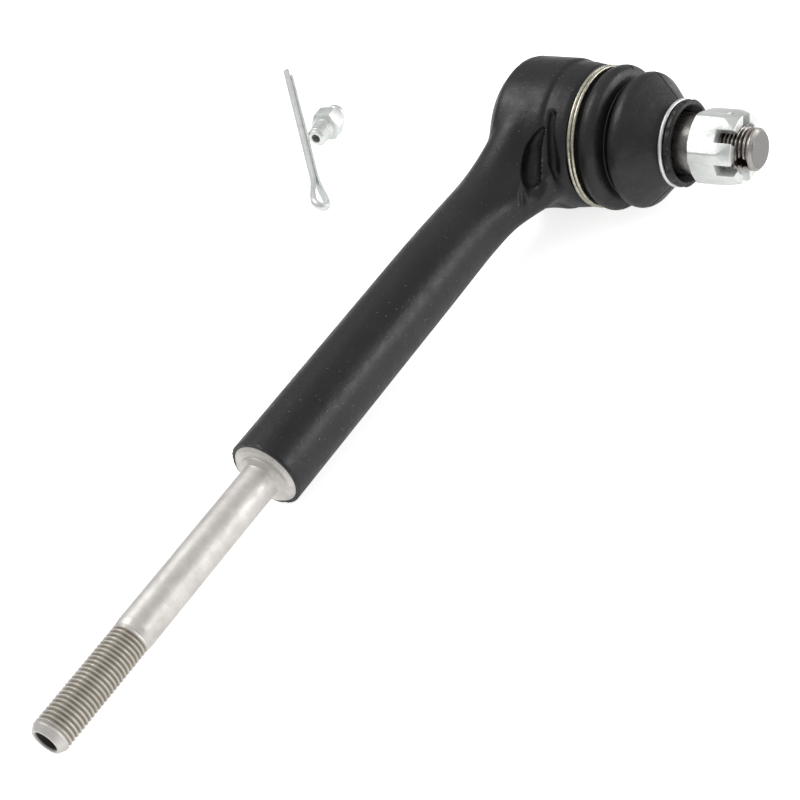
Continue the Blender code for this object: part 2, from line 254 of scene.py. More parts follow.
def prism(name, ring, low, high, axis="Y", placed=LAY):
    """A straight prism over a ring of (across, up) points."""
    points = []
    for station in (low, high):
        for across, up in ring:
            points.append((across, station, up) if axis == "Y" else (station, across, up))
    count = len(ring)
    faces = grid_faces(2, count)
    faces += [tuple(range(count)), tuple(range(count, 2 * count))]
    return mesh_object(name, points, faces, placed)


def hexagon(corner_radius, turn, rounding=0.35):
    """Points of a hexagon with slightly rounded corners."""
    ring = []
    for k in range(6):
        angle = turn + math.tau * k / 6
        corner = Vector((math.cos(angle), math.sin(angle))) * corner_radius
        side = Vector((-math.sin(angle), math.cos(angle)))
        inward = -corner.normalized()
        for t in (-1.0, -0.5, 0.0, 0.5, 1.0):
            drop = rounding * (0.32 + 0.26 * t * t)
            ring.append(tuple(corner + side * rounding * t + inward * drop))
    return ring


def slot_box(name, size, middle, turn):
    """A box of (along, up the stud, across), turned about the stud."""
    along, tall, across = (value / 2 for value in size)
    points = []
    for x in (-along, along):
        for y in (-tall, tall):
            for z in (-across, across):
                u = x * math.cos(turn) - z * math.sin(turn)
                v = x * math.sin(turn) + z * math.cos(turn)
                points.append((middle[0] + u, middle[1] + y, middle[2] + v))
    faces = [(0, 1, 3, 2), (4, 6, 7, 5), (0, 4, 5, 1), (2, 3, 7, 6), (0, 2, 6, 4), (1, 5, 7, 3)]
    return mesh_object(name, points, faces)


def swept(name, path, section, sideways, cyclic=False, placed=LAY):
    """A section of (outward, aside) points carried along a path; sideways sets the aside direction."""
    path = [Vector(point) for point in path]
    count = len(path)
    points = []
    for i, point in enumerate(path):
        before = path[i - 1] if cyclic or i else point
        after = path[(i + 1) % count] if cyclic or i < count - 1 else point
        along = (after - before).normalized()
        outward = along.cross(Vector(sideways)).normalized()
        aside = outward.cross(along).normalized()
        points += [point + outward * u + aside * v for u, v in section]
    size = len(section)
    faces = grid_faces(count, size, cyclic)
    if not cyclic:
        faces += [tuple(range(size)), tuple(range((count - 1) * size, count * size))]
    return mesh_object(name, points, faces, placed)


def circle(radius):
    """Points of a round wire's section."""
    angles = [math.tau * k / WIRE_SIDES for k in range(WIRE_SIDES)]
    return [(radius * math.cos(a), radius * math.sin(a)) for a in angles]


def settle(piece, node):
    """Moves a loose piece's mesh so that its box has the same middle as its CAD node's box."""
    low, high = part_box(node)
    corners = [vertex.co for vertex in piece.data.vertices]
    own = [(min(c[k] for c in corners) + max(c[k] for c in corners)) / 2 for k in range(3)]
    piece.data.transform(Matrix.Translation((low + high) / 2 - Vector(own)))
    return piece


def show(piece, material, slot, *nodes, body=None, sharp=32):
    """Finishes a piece: shading, material, the body it rides on, and the CAD nodes that it stands for."""
    piece.data.materials.clear()
    piece.data.materials.append(material)
    piece.data.shade_smooth()
    piece.data.set_sharp_from_angle(angle=math.radians(sharp))
    if body:
        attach(piece, body)
    if nodes:
        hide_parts(*nodes)
    return piece


# ---------------------------------------------------------------- the forging, as a smooth field

def smooth_union(a, b, width):
    """The union of two fields, with a fillet of about the given width."""
    h = np.clip(0.5 + 0.5 * (b - a) / width, 0, 1)
    return b * (1 - h) + a * h - width * h * (1 - h)


def smooth_cut(a, b, width):
    """Field a without field b, with a rounded edge."""
    return -smooth_union(-a, b, width)


def outline_distance(r, y, outline):
    """Signed distance to a closed outline of (radius, station) points, negative inside."""
    nearest = np.full(r.shape, 1e9)
    inside = np.zeros(r.shape, bool)
    for (r0, y0), (r1, y1) in zip(outline, outline[1:] + outline[:1]):
        er, ey = r1 - r0, y1 - y0
        t = np.clip(((r - r0) * er + (y - y0) * ey) / (er * er + ey * ey), 0, 1)
        nearest = np.minimum(nearest, (r - r0 - t * er) ** 2 + (y - y0 - t * ey) ** 2)
        if ey:
            crosses = (y0 <= y) != (y1 <= y)
            inside ^= crosses & (r < r0 + (y - y0) / ey * er)
    return np.sqrt(nearest) * np.where(inside, -1, 1)


def through(stops, values, at):
    """A smooth curve through (stop, value) pairs, read at the given places."""
    slopes = np.gradient(values, stops)
    k = np.clip(np.searchsorted(stops, at) - 1, 0, len(stops) - 2)
    width = stops[k + 1] - stops[k]
    t = np.clip((at - stops[k]) / width, 0, 1)
    rise = values[k + 1] - values[k]
    a = slopes[k] * width - rise
    b = rise - slopes[k + 1] * width
    return values[k] + rise * t + t * (1 - t) * ((1 - t) * a + t * b)


# The ball housing's outside as (radius, station); it starts behind the axis so that the axis lies inside it
BODY_FRONT_Y = 25.7
BODY_OUTLINE = [
    (-1.0, -1.2), (17.9, -1.2), (18.6, -0.8), (20.6, 1.2), (21.4, 2.3), (21.7, 3.8), (21.7, 16.6),
    (21.5, 17.6), (21.0, 18.2), (20.85, 21.0), (20.3, 24.6), (19.6, BODY_FRONT_Y), (16.0, BODY_FRONT_Y),
    (-1.0, BODY_FRONT_Y),
]
NECK = np.array([
    # x, lowest y, highest y, half height
    (12, -0.6, 25.3, 13.2),
    (17.2, -0.8, 25.0, 11.4),
    (21.5, -0.9, 24.5, 9.3),
    (26, -0.9, 23.6, 8.1),
    (31, -1.2, 21.4, 7.7),
    (36, -1.8, 19.2, 7.7),
    (41, -2.2, 17.7, 8.0),
    (47, -2.5, 16.6, 8.4),
    (54, -2.7, 15.9, 8.8),
    (62, -2.75, 15.55, 9.1),
    (70, -2.78, 15.58, 9.18),
])
CORE = np.array([
    # x, middle y, half width, half height
    (5, 8.5, 10.5, 17.0),
    (15, 8.2, 9.6, 15.0),
    (24, 7.3, 8.9, 11.6),
    (34, 6.7, 8.7, 9.4),
    (46, 6.45, 8.9, 8.9),
    (62, 6.4, 9.15, 9.12),
    (70, 6.4, 9.18, 9.18),
])
# Hollows where the stem meets the front of the housing. Each point is a spot on the skin as x, y and z,
# then the half width and the depth of the hollow there.
POCKETS = (
    ((16.3, 18.4, 13.2, 0.7, 1.2), (18.4, 17.2, 11.3, 1.5, 2.4), (20.4, 16.6, 9.2, 2.1, 3.4),
     (23.7, 17.4, 7.5, 2.4, 4.2), (27.4, 19.1, 6.2, 2.5, 3.9), (29.8, 20.5, 4.3, 2.5, 2.0),
     (31.2, 21.4, 2.2, 2.2, 0.4)),
    ((12.9, 20.8, 16.4, 0.9, 1.5), (15.1, 20.9, 14.3, 0.8, 1.6), (17.6, 21.5, 11.0, 0.9, 1.7),
     (19.7, 22.3, 7.5, 1.1, 2.3), (21.6, 23.2, 4.9, 1.1, 2.2), (22.9, 24.1, 2.5, 0.6, 0.9)),
    ((31.2, 18.6, 5.8, 0.7, 0.5), (33.4, 19.0, 3.9, 0.7, 0.6), (35.2, 19.4, 1.4, 0.6, 0.4),
     (36.0, 19.4, -1.4, 0.5, 0.25)),
)
STEM_START_X = 8.0
FLARE_POWER = 2.3
POCKET_EDGE = 0.8
FIELD_STEP = 1e-3


def stem_field(x, y, z):
    """The round stem, which near the housing grows into a taller core."""
    middle = through(CORE[:, 0], CORE[:, 1], x)
    wide = through(CORE[:, 0], CORE[:, 2], x)
    tall = through(CORE[:, 0], CORE[:, 3], x)
    u, v = (y - middle) / wide, z / tall
    return (np.sqrt(u * u + v * v) - 1) * np.minimum(wide, tall)


def gusset_field(x, y, z):
    """The flat flare that joins the stem to the front of the housing."""
    low = through(NECK[:, 0], NECK[:, 1], x)
    high = through(NECK[:, 0], NECK[:, 2], x)
    tall = through(NECK[:, 0], NECK[:, 3], x)
    wide = (high - low) / 2
    u = np.abs((y - (low + high) / 2) / wide) ** FLARE_POWER
    v = np.abs(z / tall) ** FLARE_POWER
    return ((u + v) ** (1 / FLARE_POWER) - 1) * np.minimum(wide, tall)


def plain_forging_field(x, y, z):
    """The forging before its hollows: sharp where the stem enters the housing, soft where the flare does."""
    body = outline_distance(np.hypot(x, z), y, BODY_OUTLINE)
    stem = np.maximum(stem_field(x, y, z), STEM_START_X - x)
    flare = np.maximum(gusset_field(x, y, z), STEM_START_X - x)
    whole = smooth_union(smooth_union(body, stem, 1.5), smooth_union(stem, flare, 2.0), 2.6)
    return np.maximum(whole, y - BODY_FRONT_Y)


def sunk(spots):
    """Balls (x, y, z, radius) that cut hollows of the stated half width and depth at spots on the skin."""
    balls = []
    for x, y, z, half, deep in spots:
        spot = np.array([x, y, z], float)
        for _ in range(4):
            here = plain_forging_field(*spot[:, None])[0]
            beside = plain_forging_field(*(spot[:, None] + np.eye(3) * FIELD_STEP))
            slope = (beside - here) / FIELD_STEP
            outward = slope / np.linalg.norm(slope)
            spot -= outward * here
        radius = (deep + half * half / deep) / 2
        balls.append((*(spot - outward * (deep - radius)), radius))
    return balls


def pocket_field(x, y, z, path):
    """A chain of balls joined by straight runs, each point given as (x, y, z, radius)."""
    stops = np.arange(len(path), dtype=float)
    fine = np.linspace(0, len(path) - 1, 4 * len(path))
    path = np.stack([through(stops, column, fine) for column in np.array(path).T], 1)
    nearest = np.full(x.shape, 1e9)
    for (x0, y0, z0, r0), (x1, y1, z1, r1) in zip(path, path[1:]):
        ex, ey, ez = x1 - x0, y1 - y0, z1 - z0
        t = ((x - x0) * ex + (y - y0) * ey + (z - z0) * ez) / (ex * ex + ey * ey + ez * ez)
        t = np.clip(t, 0, 1)
        away = np.sqrt((x - x0 - t * ex) ** 2 + (y - y0 - t * ey) ** 2 + (z - z0 - t * ez) ** 2)
        nearest = np.minimum(nearest, away - (r0 + (r1 - r0) * t))
    return nearest


HOLLOWS = [sunk(spots) for spots in POCKETS]


def forging_field(x, y, z):
    """The forging with its hollows, cut off square where the machined end of the stem begins."""
    whole = plain_forging_field(x, y, z)
    for balls in HOLLOWS:
        whole = smooth_cut(whole, pocket_field(x, y, z, balls), POCKET_EDGE)
    return np.maximum(whole, x - FORGING_END_X)


def skin(name, field, low, high, pitch):
    """The zero surface of a field as quads, with each point drawn onto the surface."""
    axes = [np.arange(a - pitch, b + 2 * pitch, pitch) for a, b in zip(low, high)]
    x, y, z = np.meshgrid(*axes, indexing="ij")
    values = field(x, y, z)
    inside = values < 0
    corners = [(i, j, k) for i in (0, 1) for j in (0, 1) for k in (0, 1)]
    nx, ny, nz = (size - 1 for size in inside.shape)
    corner_sum = sum(inside[i:nx + i, j:ny + j, k:nz + k].astype(int) for i, j, k in corners)
    cells = np.argwhere((corner_sum > 0) & (corner_sum < 8))
    number = np.full(corner_sum.shape, -1)
    number[tuple(cells.T)] = np.arange(len(cells))
    total = np.zeros((len(cells), 3))
    hits = np.zeros(len(cells))
    for near in corners:
        for far in corners:
            step = np.array(far) - np.array(near)
            if step.min() < 0 or step.sum() != 1:
                continue
            a = values[tuple((cells + near).T)]
            b = values[tuple((cells + far).T)]
            crossed = (a < 0) != (b < 0)
            t = np.where(crossed, a / np.where(crossed, a - b, 1), 0)
            total += np.where(crossed[:, None], np.array(near) + t[:, None] * step, 0)
            hits += crossed
    origin = np.array([axis[0] for axis in axes])
    points = origin + (cells + total / hits[:, None]) * pitch
    for _ in range(2):
        here = field(*points.T)
        slope = np.stack([(field(*(points + d).T) - here) / FIELD_STEP for d in np.eye(3) * FIELD_STEP], -1)
        size = np.maximum((slope ** 2).sum(1), 0.2)
        step = here[:, None] * slope / size[:, None]
        points -= np.clip(step, -0.4 * pitch, 0.4 * pitch)
    faces = []
    for axis in range(3):
        one, two = [k for k in range(3) if k != axis]
        ahead = np.roll(inside, -1, axis)
        changes = np.argwhere(inside != ahead)
        unit_one, unit_two = np.eye(3, dtype=int)[one], np.eye(3, dtype=int)[two]
        quads = [number[tuple((changes - shift).T)]
                 for shift in (unit_one * 0, unit_one, unit_one + unit_two, unit_two)]
        faces += np.stack(quads, 1).tolist()
    return mesh_object(name, points, faces)


# ---------------------------------------------------------------- materials

class Finish:
    """A procedural material whose texture coordinates are millimetres in the assembly's axes."""

    def __init__(self, name, colour, roughness, metallic=0.0):
        self.material = bpy.data.materials.new(name)
        self.material.use_nodes = True
        self.nodes = self.material.node_tree.nodes
        self.links = self.material.node_tree.links
        self.shader = self.nodes["Principled BSDF"]
        self.shader.inputs["Base Color"].default_value = (*colour, 1)
        self.shader.inputs["Roughness"].default_value = roughness
        self.shader.inputs["Metallic"].default_value = metallic
        source = self.nodes.new("ShaderNodeTexCoord").outputs["Object"]
        self.place = self.mapped(source, (1 / MM,) * 3, (0, -TILT, 0))

    def mapped(self, source, scale, rotation=(0, 0, 0)):
        node = self.nodes.new("ShaderNodeMapping")
        node.inputs["Scale"].default_value = scale
        node.inputs["Rotation"].default_value = rotation
        self.links.new(source, node.inputs["Vector"])
        return node.outputs["Vector"]

    def noise(self, per_mm, detail=3.0, stretch=(1, 1, 1), rough=0.5):
        node = self.nodes.new("ShaderNodeTexNoise")
        node.inputs["Scale"].default_value = 1.0
        node.inputs["Detail"].default_value = detail
        node.inputs["Roughness"].default_value = rough
        scale = tuple(per_mm * value for value in stretch)
        self.links.new(self.mapped(self.place, scale), node.inputs["Vector"])
        return node.outputs["Fac"]

    def math(self, operation, a, b=None, c=None):
        node = self.nodes.new("ShaderNodeMath")
        node.operation = operation
        for socket, value in zip(node.inputs, (a, b, c)):
            if value is None:
                continue
            if isinstance(value, (int, float)):
                socket.default_value = value
            else:
                self.links.new(value, socket)
        return node.outputs[0]

    def band(self, value, low, high, to_low=0.0, to_high=1.0):
        """The value between low and high, spread over another range and held at its ends."""
        node = self.nodes.new("ShaderNodeMapRange")
        self.links.new(value, node.inputs["Value"])
        for name, number in (("From Min", low), ("From Max", high), ("To Min", to_low), ("To Max", to_high)):
            node.inputs[name].default_value = number
        return node.outputs["Result"]

    def mix(self, factor, a, b):
        node = self.nodes.new("ShaderNodeMix")
        node.data_type = "RGBA"
        self.links.new(factor, node.inputs["Factor"])
        for socket, value in ((node.inputs[6], a), (node.inputs[7], b)):
            if isinstance(value, tuple):
                socket.default_value = (*value, 1)
            else:
                self.links.new(value, socket)
        return node.outputs[2]

    def axis(self, name):
        node = self.nodes.new("ShaderNodeSeparateXYZ")
        self.links.new(self.place, node.inputs[0])
        return node.outputs[name]

    def radius_about(self, keep, centre=(0, 0, 0)):
        """Distance from a line; keep holds a one for each direction that counts."""
        node = self.nodes.new("ShaderNodeVectorMath")
        node.operation = "SUBTRACT"
        self.links.new(self.place, node.inputs[0])
        node.inputs[1].default_value = centre
        flat = self.nodes.new("ShaderNodeVectorMath")
        flat.operation = "MULTIPLY"
        self.links.new(node.outputs[0], flat.inputs[0])
        flat.inputs[1].default_value = keep
        size = self.nodes.new("ShaderNodeVectorMath")
        size.operation = "LENGTH"
        self.links.new(flat.outputs[0], size.inputs[0])
        return size.outputs["Value"]

    def colour(self, source):
        self.links.new(source, self.shader.inputs["Base Color"])

    def roughness(self, source):
        self.links.new(source, self.shader.inputs["Roughness"])

    def bump(self, *layers):
        """Stacks (height, depth in millimetres) layers of bump."""
        normal = None
        for height, depth in layers:
            node = self.nodes.new("ShaderNodeBump")
            node.inputs["Strength"].default_value = 1.0
            node.inputs["Distance"].default_value = depth * MM
            self.links.new(height, node.inputs["Height"])
            if normal is not None:
                self.links.new(normal, node.inputs["Normal"])
            normal = node.outputs["Normal"]
        self.links.new(normal, self.shader.inputs["Normal"])


def black_paint():
    made = Finish("black_paint", (0.014, 0.014, 0.016), 0.4)
    broad = made.noise(0.06, 4)
    peel = made.noise(0.7, 3)
    grit = made.noise(2.6, 2)
    base = made.mix(made.band(broad, 0.35, 0.65), (0.008, 0.008, 0.0095), (0.015, 0.015, 0.0172))
    # Grey specks: flakes in the paint, and also painted glints that stand in for small highlights.
    flake_and_glint_speck = made.band(made.noise(1.5, 1), 0.74, 0.78)
    made.colour(made.mix(flake_and_glint_speck, base, (0.16, 0.16, 0.165)))
    made.roughness(made.band(made.noise(0.25, 5, rough=0.6), 0.3, 0.7, 0.3, 0.48))
    made.bump((peel, 0.1), (grit, 0.04))
    made.shader.inputs["Specular IOR Level"].default_value = 0.46
    return made.material


def turned_steel(name, along, pale, dark, line_depth=0.02):
    """Bare steel with the fine rings that turning leaves; along is the turning axis."""
    made = Finish(name, pale, 0.35, 1.0)
    stretch = (1, 0.02, 0.02) if along == "X" else (0.02, 1, 0.02)
    lines = made.noise(3.0, 3, stretch)
    patches = made.noise(0.22, 5, rough=0.65)
    tone = made.mix(made.band(patches, 0.3, 0.7), dark, pale)
    made.colour(made.mix(made.band(lines, 0.25, 0.75, 0.0, 0.35), tone, tuple(0.72 * v for v in pale)))
    made.roughness(made.band(made.noise(0.5, 4), 0.3, 0.7, 0.28, 0.46))
    made.bump((lines, line_depth), (made.noise(1.8, 3), 0.02))
    return made


def rod_steel():
    """The rod: pale turned shank, browner in the thread's grooves, with painted shade in the centre hole at its
    end.
    """
    made = turned_steel("rod_steel", "X", (0.83, 0.805, 0.77), (0.64, 0.615, 0.58))
    away = made.radius_about((0, 1, 1), (0, STEM_Y, 0))
    groove = made.band(away, ROD_THREAD_R - 0.12, ROD_THREAD_R - 0.5)
    threaded = made.band(made.axis("X"), ROD_THREAD[0] - 0.5, ROD_THREAD[0] + 0.5)
    face = made.band(made.axis("X"), ROD_THREAD[1] - 0.3, ROD_THREAD[1] + 0.3, 1.0, 0.0)
    amount = made.math("MULTIPLY", made.math("MULTIPLY", groove, threaded), face)
    base = made.shader.inputs["Base Color"].links[0].from_socket
    threaded = made.mix(made.math("MULTIPLY", amount, 0.8), base, (0.30, 0.25, 0.18))
    made.roughness(made.band(made.noise(0.35, 5, rough=0.65), 0.3, 0.7, 0.42, 0.62))
    made.shader.inputs["Metallic"].default_value = 0.85
    # Painted shade: the centre hole at the rod's end is coloured near black for the shadow inside it.
    painted_hole_shade = made.band(away, CENTRE_HOLE_R, CENTRE_HOLE_R - 0.35)
    made.colour(made.mix(painted_hole_shade, threaded, (0.03, 0.028, 0.026)))
    return made.material


def stud_steel():
    """The stud: dark polished taper, darkened further as painted shade where it lies in the boot's mouth,
    grey-brown rolled thread, grey sawn end.
    """
    made = turned_steel("stud_steel", "Y", (0.55, 0.52, 0.49), (0.36, 0.34, 0.32))
    away = made.radius_about((1, 0, 1))
    groove = made.band(away, STUD_R - 0.15, STUD_R - 0.7)
    height = made.axis("Y")
    above = made.band(height, NUT_LOW - 0.6, NUT_LOW + 0.2)
    below_end = made.band(height, STUD_END_Y - 1.6, STUD_END_Y - 1.2, 1.0, 0.0)
    base = made.shader.inputs["Base Color"].links[0].from_socket
    amount = made.math("MULTIPLY", made.math("MULTIPLY", groove, below_end), 0.8)
    threaded = made.mix(amount, base, (0.13, 0.10, 0.08))
    # The taper's colour is dark partly for polished steel and partly as painted shade for the shadow inside the
    # boot's mouth.
    polished_and_shaded_taper = made.mix(made.band(made.noise(0.3, 3), 0.35, 0.65), (0.2, 0.19, 0.18), (0.32, 0.305, 0.285))
    sawn = made.band(height, STUD_END_Y - 0.25, STUD_END_Y - 0.1)
    made.colour(made.mix(sawn, made.mix(above, polished_and_shaded_taper, threaded), (0.25, 0.245, 0.24)))
    made.roughness(made.band(made.noise(0.5, 4), 0.3, 0.7, 0.22, 0.4))
    return made.material


def boot_rubber():
    made = Finish("boot_rubber", (0.014, 0.014, 0.0145), 0.5)
    grain = made.noise(1.6, 4)
    bloom = made.band(made.noise(0.12, 4, rough=0.6), 0.4, 0.7)
    base = made.mix(bloom, (0.011, 0.011, 0.0112), (0.02, 0.0198, 0.0192))
    dust = made.band(made.noise(1.9, 1), 0.76, 0.79)
    made.colour(made.mix(dust, base, (0.15, 0.15, 0.145)))
    made.roughness(made.band(made.noise(0.3, 4), 0.3, 0.7, 0.34, 0.5))
    made.bump((grain, 0.05), (made.noise(0.25, 2), 0.3))
    return made.material


def zinc_plate():
    made = Finish("zinc_plate", (0.88, 0.9, 0.885), 0.34, 0.85)
    cloud = made.noise(0.28, 5, rough=0.65)
    tint = made.mix(made.band(cloud, 0.35, 0.65), (0.78, 0.81, 0.785), (0.88, 0.895, 0.875))
    scuff = made.band(made.noise(1.1, 4, (1, 0.15, 1)), 0.58, 0.7)
    made.colour(made.mix(made.math("MULTIPLY", scuff, 0.5), tint, (0.68, 0.71, 0.68)))
    made.roughness(made.band(made.noise(0.7, 4), 0.3, 0.7, 0.36, 0.54))
    made.bump((made.noise(1.4, 4), 0.035), (made.noise(0.35, 2), 0.1))
    return made.material


def spring_wire():
    made = Finish("spring_wire", (0.62, 0.59, 0.47), 0.3, 1.0)
    flow = made.noise(0.9, 4)
    made.colour(made.mix(made.band(flow, 0.35, 0.65), (0.50, 0.47, 0.36), (0.74, 0.72, 0.62)))
    made.roughness(made.band(made.noise(1.5, 3), 0.3, 0.7, 0.22, 0.4))
    made.bump((made.noise(3.0, 3), 0.03))
    return made.material


def moulded_plastic():
    made = Finish("moulded_plastic", (0.72, 0.70, 0.62), 0.45)
    made.colour(made.mix(made.band(made.noise(0.2, 3), 0.3, 0.7), (0.66, 0.64, 0.56), (0.76, 0.74, 0.67)))
    made.roughness(made.band(made.noise(0.8, 3), 0.3, 0.7, 0.38, 0.52))
    made.bump((made.noise(2.5, 3), 0.03))
    return made.material


PAINT = black_paint()
ROD_STEEL = rod_steel()
COVER_STEEL = turned_steel("cover_steel", "Y", (0.50, 0.49, 0.47), (0.36, 0.35, 0.34), 0.03).material
STUD_STEEL = stud_steel()
RUBBER = boot_rubber()
ZINC = zinc_plate()
WIRE = spring_wire()
PLASTIC = moulded_plastic()


# ---------------------------------------------------------------- housing, stem and rod

def make_forging():
    pitch = 0.5
    reach = HOUSING_R + 0.3
    low, high = (-reach, -3.5, -reach), (FORGING_END_X + 0.3, BODY_FRONT_Y + 0.5, reach)
    forging = skin("forged_body", forging_field, low, high, pitch)
    spigot = [(0, 24.0), (SPIGOT_R, 24.0), (SPIGOT_R, SPIGOT_END_Y, 0.4), (0, SPIGOT_END_Y)]
    combine(forging, turned("spigot", rounded(spigot)), "UNION")
    bore = [(0, -4), (16.7, -4), (16.7, -0.3, 0.2), (18.0, -0.3, 0.2), (18.0, 2.1, 0.2), (BORE_R, 2.1, 0.2),
            (BORE_R, BORE_END_Y, 0.5), (11.3, BORE_END_Y, 0.3), (15.1, 30.6, 0), (16.2, 33, 0), (0, 33)]
    combine(forging, turned("bore", rounded(bore)))
    hole = [(0, -27), (NIPPLE_HOLE_R, -27), (NIPPLE_HOLE_R, -10), (0, -10)]
    combine(forging, turned("drill", hole, "X", at=(0, BALL_Y, 0), segments=48, turn=0.03))
    show(forging, PAINT, "black_paint", "tie_rod_housing", body="housing", sharp=40)


def make_rod():
    inside = 12.0  # how far the rod's core reaches into the forging
    start, end = ROD_THREAD
    outline = [(0, FORGING_END_X - inside), (6.0, FORGING_END_X - inside), (6.0, FORGING_END_X - 0.4, 0.1)]
    outline += [(STEM_R - 0.02, FORGING_END_X - 0.4, 0.1), (STEM_R - 0.02, FORGING_END_X + 0.1, 0.15)]
    outline += [(8.3, SHOULDER_X, 0.25), (6.7, SHOULDER_X, 0.08), (6.5, SHOULDER_X + 0.35, 0.15)]
    outline += [(6.0, SHOULDER_X + 0.7, 0.2), (SHANK_R, SHOULDER_X + 1.3, 0.6), (SHANK_R, start - 1.6, 0.3)]
    outline += [(ROD_THREAD_R, start - 0.6, 0.3)]
    shaft = rounded(outline)[:-1]
    shaft += stations(ROD_THREAD_R, start, end, ROD_PITCH / 12)
    tip = [(ROD_THREAD_R, end), (ROD_THREAD_R - 0.1, end + 0.3, 0.2), (3.95, ROD_END_X, 0.25)]
    tip += [(CENTRE_HOLE_R, ROD_END_X, 0.2), (0, ROD_END_X - 5.7)]
    shaft += rounded(tip)[1:]
    relief = screw_thread(ROD_THREAD_R, 0.62, ROD_PITCH, start, end)
    rod = turned("threaded_rod", shaft, "X", at=(0, STEM_Y, 0), segments=112, relief=relief)
    show(rod, ROD_STEEL, "turned_steel", "tie_rod_housing", body="housing", sharp=28)


def make_cover():
    plate = [(0, 0), (12.2, 0, 0.4), (12.6, 0.25, 0.3), (13.4, 0.25, 0.3), (13.8, 0, 0.4), (16.1, 0, 0.3)]
    plate += [(17.6, 0.5, 0.2), (17.6, 1.75, 0.2), (0, 1.75)]
    cover = turned("pressed_cover", rounded(plate))
    show(cover, COVER_STEEL, "turned_steel", "end_cover", body="housing")


# ---------------------------------------------------------------- stud and nut

def make_stud():
    start, end = NUT_LOW - 0.2, STUD_END_Y - 2.0
    waist_r = 5.8
    meeting = math.degrees(math.acos(waist_r / BALL_R))
    outline = [(0, BALL_Y - BALL_R)] + arc(0, BALL_Y, BALL_R, -86, meeting, 30)
    outline += [(waist_r, BALL_Y + 24.5, 3.0), (6.5, BALL_Y + 27.5, 2.0), (8.9, BALL_Y + 33.5, 1.0)]
    outline += [(8.15, BALL_Y + 42.7, 0.2), (STUD_R, BALL_Y + 42.8, 0.0)]
    shaft = rounded(outline)
    shaft += stations(STUD_R, start, end, STUD_PITCH / 14)
    tip = [(STUD_R, end), (STUD_R - 0.5, end + 0.12, 0.1), (STUD_R - 0.5, end + 0.35, 0.1)]
    tip += [(STUD_R - 0.1, end + 0.55, 0.15), (STUD_R, STUD_END_Y - 0.9, 0.3)]
    tip += [(STUD_R - 1.0, STUD_END_Y, 0.3), (0, STUD_END_Y)]
    shaft += rounded(tip)[1:]
    relief = screw_thread(STUD_R, 0.85, STUD_PITCH, start, end, -1)
    stud = turned("tapered_stud", shaft, segments=128, relief=relief)
    reach = 9.0
    pin_hole_r = 1.75
    hole = [(0, -reach), (pin_hole_r, -reach), (pin_hole_r, reach), (0, reach)]
    place = (0, BALL_Y + 57.3, 0)
    drill = turned("cotter_drill", hole, "X", segments=40, placed=Matrix.Identity(4))
    drill.data.transform(LAY @ Matrix.Translation(place) @ Matrix.Rotation(-STUD_TURN, 4, "Y"))
    combine(stud, drill)
    show(stud, STUD_STEEL, "stud_steel", "ball_stud", body="stud", sharp=28)


def make_nut():
    corner = 10.97
    wide = corner + 0.6
    bore_r = 6.7
    mouth_r = 7.2
    slots = 3
    depth = 5.2
    nut = prism("nut", hexagon(corner, STUD_TURN + math.radians(30)), NUT_LOW - 1, NUT_HIGH + 1)
    cone = [(0, NUT_LOW), (9.7, NUT_LOW, 0.15), (wide, NUT_LOW + 1.3, 0)]
    cone += [(wide, NUT_HIGH - 6.0, 0), (9.45, NUT_HIGH, 0.3), (0, NUT_HIGH)]
    combine(nut, turned("nut_cone", rounded(cone), segments=192), "INTERSECT")
    middle = (0, NUT_HIGH - depth / 2 + 1, 0)
    for k in range(slots):
        turn = STUD_TURN + math.pi * k / slots
        combine(nut, slot_box(f"slot_{k}", (30, depth + 2, 3.8), middle, turn))
    bevelled(nut, 0.16, 30)
    start, end = NUT_LOW + 0.5, NUT_HIGH - 0.5
    bore = [(0, NUT_LOW - 2), (mouth_r, NUT_LOW - 2), (mouth_r, NUT_LOW - 0.01), (bore_r, start)]
    bore += stations(bore_r, start + 0.01, end - 0.01, STUD_PITCH / 10)
    bore += [(bore_r, end), (mouth_r, NUT_HIGH + 0.01), (mouth_r, NUT_HIGH + 2), (0, NUT_HIGH + 2)]
    relief = screw_thread(bore_r, 0.6, STUD_PITCH, start, end, -1)
    combine(nut, turned("nut_bore", bore, segments=96, relief=relief))
    show(nut, ZINC, "zinc_plate", "castle_nut", body="nut", sharp=28)


# ---------------------------------------------------------------- boot and rings

WAIST_Y = 36.45
BOOT_SEGMENTS = 360
SEAM_ANGLE = math.radians(123)
SEAM_DEPTH = 0.35
SEAM_HALF_WIDTH = 0.3
LIP_TEETH = 14
LIP_START_Y = 52.1
LIP_INNER_R = 11.9
TOOTH_DEPTH = 0.4


def mould_seam(r, s, a):
    """The fine groove left where the two halves of the mould met, down both sides of the boot."""
    around = np.abs((a - SEAM_ANGLE + math.pi / 2) % math.pi - math.pi / 2)
    return r - SEAM_DEPTH * np.clip(1.4 - r * around / SEAM_HALF_WIDTH, 0, 1)


def boot_lip(r, s, a):
    """The notched edge of the lip in front of the neck ring, with the mould's seam."""
    teeth = np.clip(np.cos(LIP_TEETH * a) * 3 - 2.0, -1, 1) * 0.5 + 0.5
    on_lip = (s > LIP_START_Y) & (r > LIP_INNER_R)
    depth = TOOTH_DEPTH * teeth * np.clip((s - LIP_START_Y) / 0.8, 0, 1)
    return mould_seam(r, s, a) - np.where(on_lip, depth, 0)


